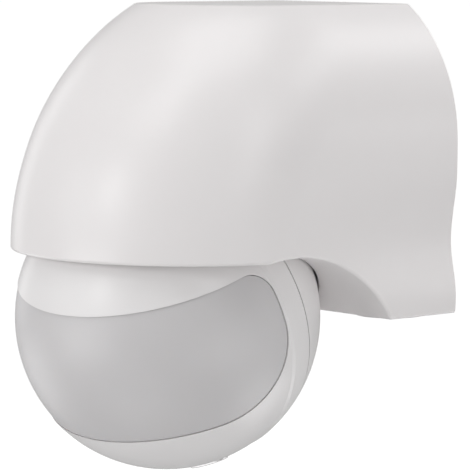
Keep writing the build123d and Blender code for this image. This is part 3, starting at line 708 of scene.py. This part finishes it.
class MOTION_SENSOR_OT_lens_array(bpy.types.Operator):
    """Makes the array of small lenses moulded on the inside of the lens."""

    bl_idname = "motion_sensor.lens_array"
    bl_label = "Lens array"

    def execute(self, context):
        sizes = context.scene.sensor_sizes
        columns, rows, fine = 9, 3, 6
        radius = ball_radius - sizes.lens_array_depth
        half_turn, half_rise = math.radians(74), math.radians(21)

        def array(form):
            across, up = columns * fine, rows * fine
            grid = []
            for j in range(up + 1):
                line = []
                for i in range(across + 1):
                    turn = half_turn * (2 * i / across - 1)
                    rise = half_rise * (2 * j / up - 1)
                    # each cell bulges inwards, and the borders between cells stand thin
                    bulge = abs(math.sin(math.pi * i / fine) * math.sin(math.pi * j / fine))
                    depth = radius - sizes.lenslet_bulge * bulge
                    direction = (
                        head_facing * math.cos(turn) * math.cos(rise)
                        + head_right * math.sin(turn) * math.cos(rise)
                        + head_up * math.sin(rise)
                    )
                    line.append(form.verts.new(ball_centre + direction * depth))
                grid.append(line)
            for low, high in zip(grid, grid[1:]):
                for i in range(across):
                    face = form.faces.new((low[i], low[i + 1], high[i + 1], high[i]))
                    face.smooth = True

        milk = bpy.data.materials["hdpe_milky_moulded"]
        piece = new_piece("lens_array", array, [milk], "head")
        thickness = piece.modifiers.new("thickness", "SOLIDIFY")
        thickness.thickness, thickness.offset = sizes.lenslet_bulge, -1.0
        return {"FINISHED"}


class MOTION_SENSOR_OT_board_details(bpy.types.Operator):
    """Solders the boards and puts their small flat parts on them."""

    bl_idname = "motion_sensor.board_details"
    bl_label = "Solder and small parts"

    def execute(self, context):
        colours = context.scene.sensor_colours
        # Tin-silver-copper solder: bright, soft and slightly lumpy.
        solder = plated_metal("solder_reflowed", tuple(colours.solder), 0.25, 0.5 * MM, 0.01 * MM)
        # Sintered ceramic chips: dull brown.
        ceramic = moulded_plastic(
            "ceramic_sintered", tuple(colours.ceramic), 0.45, 1.6, 0.2 * MM, 0.003 * MM
        )
        black = bpy.data.materials["epoxy_moulded_black"]
        across, up, wall_side = Vector((1, 0, 0)), Vector((0, 0, 1)), Vector((0, 1, 0))
        chip_size = (2.0 * MM, 1.25 * MM, 0.6 * MM)
        package_size, package_legs, leg_pitch = (5.0 * MM, 4.0 * MM, 1.5 * MM), 4, 1.27 * MM
        board_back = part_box("power_board")[1].y
        joint_profile = [
            (0.85 * MM, -0.02 * MM),
            (0.8 * MM, 0.06 * MM),
            (0.5 * MM, 0.2 * MM),
            (0.36 * MM, 0.5 * MM),
            (0.32 * MM, 0.95 * MM),
            (0.2 * MM, 1.05 * MM),
        ]

        def power_solder(form):
            for name, columns, rows in (
                ("relay", (0.15, 0.85), (0.1, 0.35, 0.9)),
                ("film_capacitor", (0.5,), (0.12, 0.88)),
                ("smoothing_capacitor", (0.28, 0.72), (0.5,)),
                ("surge_disc", (0.2, 0.8), (0.5,)),
            ):
                low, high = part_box(name)
                for a in columns:
                    for b in rows:
                        x = low.x + (high.x - low.x) * a
                        z = low.z + (high.z - low.z) * b
                        place = axes_at(Vector((x, board_back, z)), -across, up, wall_side)
                        add_turned(form, place, joint_profile)

        new_piece("power_board_solder", power_solder, [solder], "housing")

        def chip(form, place):
            """A ceramic body between two soldered ends."""
            length, width, height = chip_size
            end = 0.22 * length
            middle = place @ Matrix.Translation((0, 0, height / 2))
            body = (length - end, width * 0.94, height * 0.92)
            add_block(form, middle, body, 0.04 * MM, 0)
            for side in (-1, 1):
                there = middle @ Matrix.Translation((side * (length - end) / 2, 0, 0))
                add_block(form, there, (end, width, height), 0.05 * MM, 1)

        def package(form, place):
            """A black body with a row of bent legs along each long side."""
            length, width, height = package_size
            stand_off, leg_edge = 0.1 * MM, 0.04 * MM
            foot_size, knee_size = (0.4 * MM, 0.7 * MM, 0.2 * MM), (0.4 * MM, 0.22 * MM, 0.75 * MM)
            foot_out, foot_up, knee_out, knee_up = 0.5 * MM, 0.12 * MM, 0.12 * MM, 0.45 * MM
            middle = place @ Matrix.Translation((0, 0, height / 2 + stand_off))
            add_block(form, middle, package_size, 0.12 * MM, 2)
            for i in range(package_legs):
                x = (i - (package_legs - 1) / 2) * leg_pitch
                for side in (-1, 1):
                    foot = Matrix.Translation((x, side * (width / 2 + foot_out), foot_up))
                    knee = Matrix.Translation((x, side * (width / 2 + knee_out), knee_up))
                    add_block(form, place @ foot, foot_size, leg_edge, 1)
                    add_block(form, place @ knee, knee_size, leg_edge, 1)

        def power_chips(form):
            low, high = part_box("power_board")
            middle_z = (low.z + high.z) / 2

            def spot(x, z, turned=False):
                point = Vector((x * MM, board_back, middle_z + z * MM))
                sides = (up, across) if turned else (-across, up)
                return axes_at(point, *sides, wall_side)

            package(form, spot(-14.5, 0.5))
            for x, z, turned in (
                (-8.5, 5.5, False), (-8.5, 3.0, False), (-8.5, 0.5, True), (-5.6, -4.5, False),
                (0.5, 4.5, True), (0.5, 0.0, True), (8.5, -3.0, False), (8.5, 0.0, False),
                (11.5, -7.5, True), (-12.0, -7.0, False),
            ):
                chip(form, spot(x, z, turned))

        finishes = [ceramic, solder, black]
        new_piece("power_board_chips", power_chips, finishes, "housing")

        board = frame["nodes"]["sensor_board"].data
        board_front = max((v.co - ball_centre).dot(head_facing) for v in board.vertices)

        def on_sensor_board(x, u, turned=False):
            point = ball_centre + head_facing * board_front + head_right * x * MM + head_up * u * MM
            sides = (head_up, -head_right) if turned else (head_right, head_up)
            return axes_at(point, *sides, head_facing)

        def sensor_chips(form):
            package(form, on_sensor_board(0.0, -10.5))
            for x, u, turned in (
                (-6.5, -9.0, True), (-6.5, -12.5, True), (6.5, -9.5, True), (9.5, -9.5, True),
                (-4.0, 9.5, False), (0.0, 9.5, False), (4.0, 9.5, False), (-7.5, 6.0, True),
                (7.5, 6.0, True), (-16.5, -4.0, True), (-16.5, 4.5, True),
            ):
                chip(form, on_sensor_board(x, u, turned))

        new_piece("sensor_board_chips", sensor_chips, finishes, "head")
        return {"FINISHED"}


class MOTION_SENSOR_OT_studio(bpy.types.Operator):
    """Sets the pale floor, the soft lights and the camera."""

    bl_idname = "motion_sensor.studio"
    bl_label = "Studio"

    floor_reach, floor_glow = 30.0, 0.75
    ambient = 0.3  # what the white surround gives the sensor, where the camera sees it as white
    softbox_distance = 1.2
    # name, azimuth and elevation in degrees, width and height in metres, watts
    softboxes = (
        ("front_softbox", -14.0, 14.0, 1.2, 0.5, 2.0),
        ("front_spot", -3.0, 20.0, 0.24, 0.28, 1.2),
        ("front_low_softbox", -14.0, -14.0, 0.8, 0.5, 4.0),
        ("upper_front_softbox", 8.0, 50.0, 0.5, 0.4, 1.6),
        ("upper_front_spot", 17.0, 63.0, 0.22, 0.22, 0.4),
        ("left_edge_softbox", -92.0, 10.0, 0.3, 0.8, 0.8),
        ("top_softbox", 50.0, 84.0, 0.8, 0.8, 4.6),
        ("right_softbox", 86.0, 27.0, 0.2, 0.6, 1.3),
        ("right_low_softbox", 100.0, -20.0, 1.1, 0.45, 3.3),
        ("shoulder_softbox", 145.0, 46.0, 1.0, 0.3, 1.8),
        ("right_edge_softbox", 133.0, 4.0, 0.2, 0.3, 0.5),
        ("back_edge_softbox", 182.0, 20.0, 0.3, 0.5, 4.0),
        ("back_low_softbox", 150.0, -42.0, 0.9, 0.5, 2.3),
        ("under_softbox", 20.0, -65.0, 0.8, 0.8, 1.9),
        ("back_left_softbox", -75.0, -25.0, 0.8, 0.5, 1.6),
    )

    def execute(self, context):
        scene, settings = context.scene, context.scene.studio_settings
        scene.view_settings.view_transform = "Standard"
        low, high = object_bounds()

        # Matt background paper, pale and even, and seen through from underneath so that
        # the sensor can be looked at from below.
        material, tree = new_material("matt_paper")
        paper = tuple(scene.sensor_colours.floor)
        place = add_node(tree, "ShaderNodeTexCoord").outputs["Object"]
        fibre = add_node(
            tree, "ShaderNodeTexNoise", {"Scale": 1 / (2 * MM), "Detail": 2.0}, {"Vector": place}
        ).outputs["Fac"]
        tint = add_node(
            tree,
            "ShaderNodeMix",
            {6: shade(paper, 0.99), 7: paper},
            {0: fibre},
            data_type="RGBA",
        ).outputs[2]
        surface = add_node(
            tree,
            "ShaderNodeBsdfPrincipled",
            {
                "Roughness": 0.9,
                "Emission Color": (1.0, 1.0, 1.0, 1.0),
                "Emission Strength": self.floor_glow,
            },
            {"Base Color": tint},
        )
        underside = add_node(tree, "ShaderNodeNewGeometry").outputs["Backfacing"]
        clear = add_node(tree, "ShaderNodeBsdfTransparent").outputs["BSDF"]
        one_sided = add_node(
            tree, "ShaderNodeMixShader", links={0: underside, 1: surface.outputs["BSDF"], 2: clear}
        ).outputs["Shader"]
        add_node(tree, "ShaderNodeOutputMaterial", links={"Surface": one_sided})
        mesh = bpy.data.meshes.new("studio_floor")
        reach, depth = self.floor_reach, low.z - settings.floor_drop
        corners = [(x * reach, y * reach, depth) for x, y in ((-1, -1), (1, -1), (1, 1), (-1, 1))]
        mesh.from_pydata(corners, [], [(0, 1, 2, 3)])
        mesh.materials.append(material)
        floor = bpy.data.objects.new("studio_floor", mesh)
        floor.visible_diffuse = floor.visible_glossy = floor.visible_shadow = False
        scene.collection.objects.link(floor)
        floor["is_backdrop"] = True

        world = bpy.data.worlds.new("white_surround")
        world.use_nodes = True
        tree = world.node_tree
        tree.nodes.clear()
        seen = add_node(tree, "ShaderNodeLightPath").outputs["Is Camera Ray"]
        strength = add_node(
            tree, "ShaderNodeMapRange", {"To Min": self.ambient, "To Max": 1.0}, {"Value": seen}
        ).outputs["Result"]
        background = add_node(
            tree,
            "ShaderNodeBackground",
            {"Color": (1.0, 1.0, 1.0, 1.0)},
            {"Strength": strength},
        )
        add_node(tree, "ShaderNodeOutputWorld", links={"Surface": background.outputs[0]})
        scene.world = world

        centre = (low + high) / 2
        for name, azimuth, elevation, width, height, watts in self.softboxes:
            away = away_from(math.radians(azimuth), math.radians(elevation))
            data = bpy.data.lights.new(name, "AREA")
            data.shape, data.size, data.size_y, data.energy = "RECTANGLE", width, height, watts
            lamp = bpy.data.objects.new(name, data)
            lamp.location = centre + away * self.softbox_distance
            lamp.rotation_mode = "QUATERNION"
            lamp.rotation_quaternion = away.to_track_quat("Z", "Y")
            scene.collection.objects.link(lamp)

        away = away_from(settings.camera_azimuth, settings.camera_elevation)
        data = bpy.data.cameras.new("camera")
        data.sensor_width, data.lens = 36.0, settings.camera_lens
        data.shift_x, data.shift_y = settings.camera_shift
        data.clip_start, data.clip_end = 0.01, 100.0
        camera = bpy.data.objects.new("camera", data)
        camera.location = Vector(settings.camera_target) + away * settings.camera_distance
        camera.rotation_euler = away.to_track_quat("Z", "Y").to_euler()
        camera.rotation_euler.rotate_axis("Z", settings.camera_roll)
        scene.collection.objects.link(camera)
        scene.camera = camera
        return {"FINISHED"}


class MOTION_SENSOR_PT_panel(bpy.types.Panel):
    """Lists the sensor's values and the steps that make it."""

    bl_idname = "MOTION_SENSOR_PT_panel"
    bl_label = "Motion Sensor"
    bl_space_type = "VIEW_3D"
    bl_region_type = "UI"
    bl_category = "Motion Sensor"

    def draw(self, context):
        for group in ("sensor_colours", "sensor_sizes", "studio_settings"):
            values = getattr(context.scene, group)
            box = self.layout.box()
            for name in values.__annotations__:
                box.prop(values, name)
        for operator in operators:
            self.layout.operator(operator.bl_idname)


property_groups = {
    "sensor_colours": SensorColours,
    "sensor_sizes": SensorSizes,
    "studio_settings": StudioSettings,
}
operators = (
    MOTION_SENSOR_OT_housing,
    MOTION_SENSOR_OT_head,
    MOTION_SENSOR_OT_lens,
    MOTION_SENSOR_OT_inner_mouldings,
    MOTION_SENSOR_OT_seals,
    MOTION_SENSOR_OT_metal_parts,
    MOTION_SENSOR_OT_electronics,
    MOTION_SENSOR_OT_dials,
    MOTION_SENSOR_OT_lens_array,
    MOTION_SENSOR_OT_board_details,
    MOTION_SENSOR_OT_studio,
)


def register():
    for name, group in property_groups.items():
        bpy.utils.register_class(group)
        setattr(bpy.types.Scene, name, PointerProperty(type=group))
    for kind in (*operators, MOTION_SENSOR_PT_panel):
        bpy.utils.register_class(kind)


def unregister():
    for kind in (MOTION_SENSOR_PT_panel, *reversed(operators)):
        bpy.utils.unregister_class(kind)
    for name, group in property_groups.items():
        delattr(bpy.types.Scene, name)
        bpy.utils.unregister_class(group)


def main():
    register()
    for operator in operators:
        family, name = operator.bl_idname.split(".")
        getattr(getattr(bpy.ops, family), name)()


if __name__ == "__main__":
    main()
